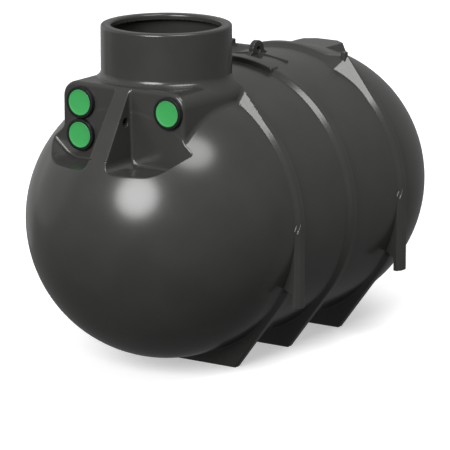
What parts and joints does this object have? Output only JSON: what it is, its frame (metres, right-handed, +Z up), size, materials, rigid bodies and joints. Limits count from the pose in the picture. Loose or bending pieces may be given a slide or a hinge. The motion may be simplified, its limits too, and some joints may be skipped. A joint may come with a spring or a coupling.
{
  "type": "rainwater cistern",
  "caption": "Underground rainwater cistern: a round moulded barrel with domed ends, a manhole neck over a port housing, ribs, flat feet, strap legs and a lifting lug.",
  "frame": {"origin": "ground level below the middle of the tank, at the centre of the box around it", "axes": "+X across the tank, -Y towards the end with the neck and the ports, +Z up"},
  "size_m": [1.33, 2.34, 1.6],
  "materials": {
    "tank_plastic": "satin moulded polyethylene, dark warm grey",
    "port_seal": "black rubber",
    "port_cap": "green moulded plastic"
  },
  "bodies": {
    "root": {"cap_left_high": "port_cap", "cap_left_low": "port_cap", "cap_right": "port_cap", "dome_shoulder_left": "tank_plastic", "dome_shoulder_right": "tank_plastic", "front_bay_bottom": "tank_plastic", "front_bay_left": "tank_plastic", "front_bay_right": "tank_plastic", "front_bay_top": "tank_plastic", "front_dome": "tank_plastic", "front_foot": "tank_plastic", "front_leg_left": "tank_plastic", "front_leg_right": "tank_plastic", "front_rib_left": "tank_plastic", "front_rib_right": "tank_plastic", "housing_side_left": "tank_plastic", "housing_side_right": "tank_plastic", "housing_top": "tank_plastic", "lifting_lug": "tank_plastic", "middle_foot": "tank_plastic", "middle_rib_left": "tank_plastic", "middle_rib_right": "tank_plastic", "middle_saddle": "tank_plastic", "neck_collar": "tank_plastic", "neck_rim": "tank_plastic", "nose": "tank_plastic", "pocket_floor_left": "tank_plastic", "pocket_floor_right": "tank_plastic", "port_wall_left": "tank_plastic", "port_wall_right": "tank_plastic", "rear_bay_bottom": "tank_plastic", "rear_bay_left": "tank_plastic", "rear_bay_right": "tank_plastic", "rear_bay_top": "tank_plastic", "rear_boss_left": "tank_plastic", "rear_boss_right": "tank_plastic", "rear_dome": "tank_plastic", "rear_foot": "tank_plastic", "rear_leg_left": "tank_plastic", "rear_leg_right": "tank_plastic", "rear_pad": "tank_plastic", "rear_rib_left": "tank_plastic", "rear_rib_right": "tank_plastic", "seal_left_high": "port_seal", "seal_left_low": "port_seal", "seal_right": "port_seal"}
  },
  "joints": []
}
